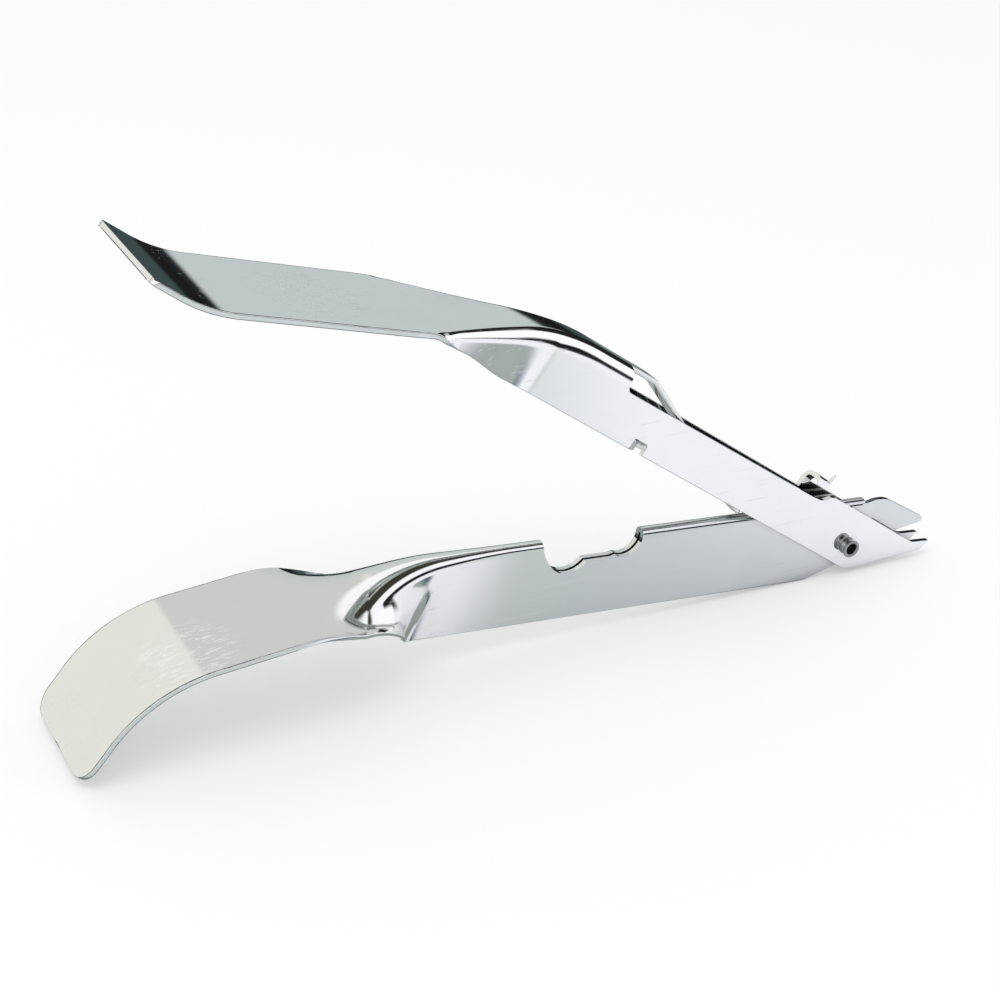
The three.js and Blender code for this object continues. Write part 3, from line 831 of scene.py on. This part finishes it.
def studio_world():
    """Soft white surroundings. The polished metal sees them as a pale dome with white panels
    overhead, at the right and behind the photographer, and a dark room between them."""
    world = bpy.data.worlds.new("studio")
    bpy.context.scene.world = world
    world.use_nodes = True
    nodes = Nodes(world.node_tree)
    direction = nodes.add("TexCoord").outputs["Generated"]
    x, y, z = nodes.add("SeparateXYZ", {0: direction}).outputs
    azimuth = azimuth_of(nodes, x, y)
    dark = (0.015, 0.015, 0.018, 1)
    look = nodes.mix(nodes.ramp(z, 0.15, 0.6), (0.59, 0.65, 0.64, 1), (0.68, 0.7, 0.69, 1))
    look = nodes.mix(nodes.ramp(azimuth, 83, 87), look, (0.89, 0.89, 0.84, 1))
    far_low = nodes.math("MULTIPLY", nodes.ramp(y, 0.35, 0.5), nodes.ramp(z, 0.1, 0.04))
    far_low = nodes.math("MULTIPLY", far_low, nodes.ramp(azimuth, 83, 80))
    look = nodes.mix(far_low, look, dark)
    look = nodes.mix(nodes.ramp(z, 0.7, 0.8), look, (1.1, 1.1, 1.12, 1))
    look = nodes.mix(nodes.ramp(y, 0.28, 0.08), look, (0.045, 0.043, 0.035, 1))
    near = nodes.ramp(y, 0.0, -0.12)
    panel = nodes.math("MULTIPLY", nodes.ramp(y, 0.28, 0.08), nodes.ramp(z, 0.72, 0.64))
    look = nodes.mix(panel, look, (1.1, 1.1, 1.15, 1))
    gap = nodes.math("MULTIPLY", near, nodes.ramp(z, 0.27, 0.22))
    gap = nodes.math("MULTIPLY", gap, nodes.ramp(azimuth, -80, -74))
    look = nodes.mix(gap, look, dark)
    corner = nodes.math("MULTIPLY", nodes.ramp(azimuth, 48, 44), nodes.ramp(azimuth, 12, 18))
    look = nodes.mix(nodes.math("MULTIPLY", corner, nodes.ramp(z, 0.52, 0.45)), look, dark)
    right = nodes.math("MULTIPLY", nodes.ramp(azimuth, 16, 11), nodes.ramp(azimuth, -30, -22))
    right = nodes.math("MULTIPLY", right, nodes.ramp(z, 0.6, 0.5))
    look = nodes.mix(right, look, (1.15, 1.15, 1.18, 1))
    seen = nodes.add("LightPath").outputs["Is Glossy Ray"]
    plain = nodes.add("Background", {"Color": (1, 1, 1, 1), "Strength": 0.9})
    mirrored = nodes.add("Background", {"Color": look, "Strength": 1.0})
    mixed = nodes.add("MixShader", {0: seen, 1: plain.outputs[0], 2: mirrored.outputs[0]})
    nodes.add("OutputWorld", {"Surface": mixed.outputs[0]})


def floor_material():
    """White paper. For glossy rays its colour is a painted reflection set by direction: white on the near
    side, greener towards the handles and blue-grey towards the jaws, and dark at low angles as painted shade,
    most of all on the far side."""
    material = bpy.data.materials.new("paper")
    material.use_nodes = True
    nodes = Nodes(material.node_tree)
    place = nodes.add("TexCoord").outputs["Object"]
    fibre = nodes.noise(place, 2500.0, 3.0)
    white = nodes.mix(fibre, grey(0.93), grey(0.9))
    incoming = nodes.add("NewGeometry").outputs["Incoming"]
    away = nodes.add("VectorMath", {0: incoming, "Scale": -1.0}, operation="SCALE").outputs[0]
    x, y, z = nodes.add("SeparateXYZ", {0: away}).outputs
    azimuth = azimuth_of(nodes, x, y)
    # Painted reflection: from here on, the colour that glossy rays see is set by their direction.
    look = nodes.mix(nodes.ramp(azimuth, -59, -50), (0.62, 0.67, 0.67, 1), (0.95, 0.95, 1.0, 1))
    steep = nodes.ramp(z, -0.52, -0.57)
    look = nodes.mix(nodes.math("MULTIPLY", nodes.ramp(azimuth, -45, -42), steep), look, (0.09, 0.13, 0.18, 1))
    look = nodes.mix(nodes.math("MULTIPLY", nodes.ramp(azimuth, -40, -36), steep), look, (0.4, 0.44, 0.42, 1))
    # Painted dark band: shallow glossy rays towards the near side see near-black.
    painted_dark_band = nodes.math("MULTIPLY", nodes.ramp(z, -0.17, -0.07), nodes.ramp(azimuth, -12, -25))
    look = nodes.mix(painted_dark_band, look, grey(0.04))
    # Painted shade: shallow glossy rays towards the far side see dark slate.
    far = nodes.math("MULTIPLY", nodes.ramp(y, 0.1, 0.3), nodes.ramp(z, -0.5, -0.4))
    slate = nodes.mix(nodes.ramp(z, -0.17, -0.1), (0.05, 0.075, 0.075, 1), grey(0.012))
    slate = nodes.mix(nodes.ramp(z, -0.27, -0.33), slate, (0.3, 0.36, 0.36, 1))
    look = nodes.mix(far, look, slate)
    path = nodes.add("LightPath").outputs
    colour = nodes.mix(path["Is Glossy Ray"], white, look)
    shader = nodes.add("BsdfDiffuse", {"Color": colour})
    glow = nodes.add("Emission", {"Color": (1, 1, 1, 1), "Strength": 1.0})
    lift = nodes.math("MULTIPLY", path["Is Camera Ray"], 0.4)
    lifted = nodes.add("MixShader", {0: lift, 1: shader.outputs[0], 2: glow.outputs[0]})
    nodes.add("OutputMaterial", {"Surface": lifted.outputs[0]})
    return material


def studio():
    size = 4.0
    mesh = bpy.data.meshes.new("floor")
    mesh.from_pydata([(-size, -size, 0), (size, -size, 0), (size, size, 0), (-size, size, 0)],
                     [], [(0, 1, 2, 3)])
    mesh.materials.append(floor_material())
    floor = bpy.data.objects.new("floor", mesh)
    bpy.context.scene.collection.objects.link(floor)
    soft = bpy.data.lights.new("softbox", "AREA")
    soft.shape = "DISK"
    soft.size = 0.5
    soft.energy = 1.4
    lamp = bpy.data.objects.new("softbox", soft)
    bpy.context.scene.collection.objects.link(lamp)
    lamp.location = (-0.25, -0.15, 0.7)
    lamp.rotation_euler = (Vector((0, 0, 0)) - lamp.location).to_track_quat("-Z", "Y").to_euler()
    lamp.visible_glossy = False
    studio_world()


def camera():
    """The photographer's view: from the near side and behind, looking down at the tool."""
    yaw, pitch, roll, distance = math.radians(29.94), math.radians(29.14), math.radians(4.33), 0.260
    view = Vector((math.cos(pitch) * math.sin(yaw), math.cos(pitch) * math.cos(yaw), -math.sin(pitch)))
    level = view.cross(Vector((0, 0, 1))).normalized()
    upright = level.cross(view)
    right = level * math.cos(roll) + upright * math.sin(roll)
    up = right.cross(view)
    target = PIVOT * 0.001 + Vector((-0.054, 0.0046, 0.0151))
    lens = bpy.data.cameras.new("camera")
    lens.lens = 72
    lens.sensor_width = 36
    lens.clip_start = 0.01
    body = bpy.data.objects.new("camera", lens)
    bpy.context.scene.collection.objects.link(body)
    turn = Matrix((right, up, -view)).transposed().to_4x4()
    body.matrix_world = Matrix.Translation(target - view * distance) @ turn
    bpy.context.scene.camera = body


build_pieces()
studio()
camera()
bpy.context.scene.view_settings.view_transform = "Standard"
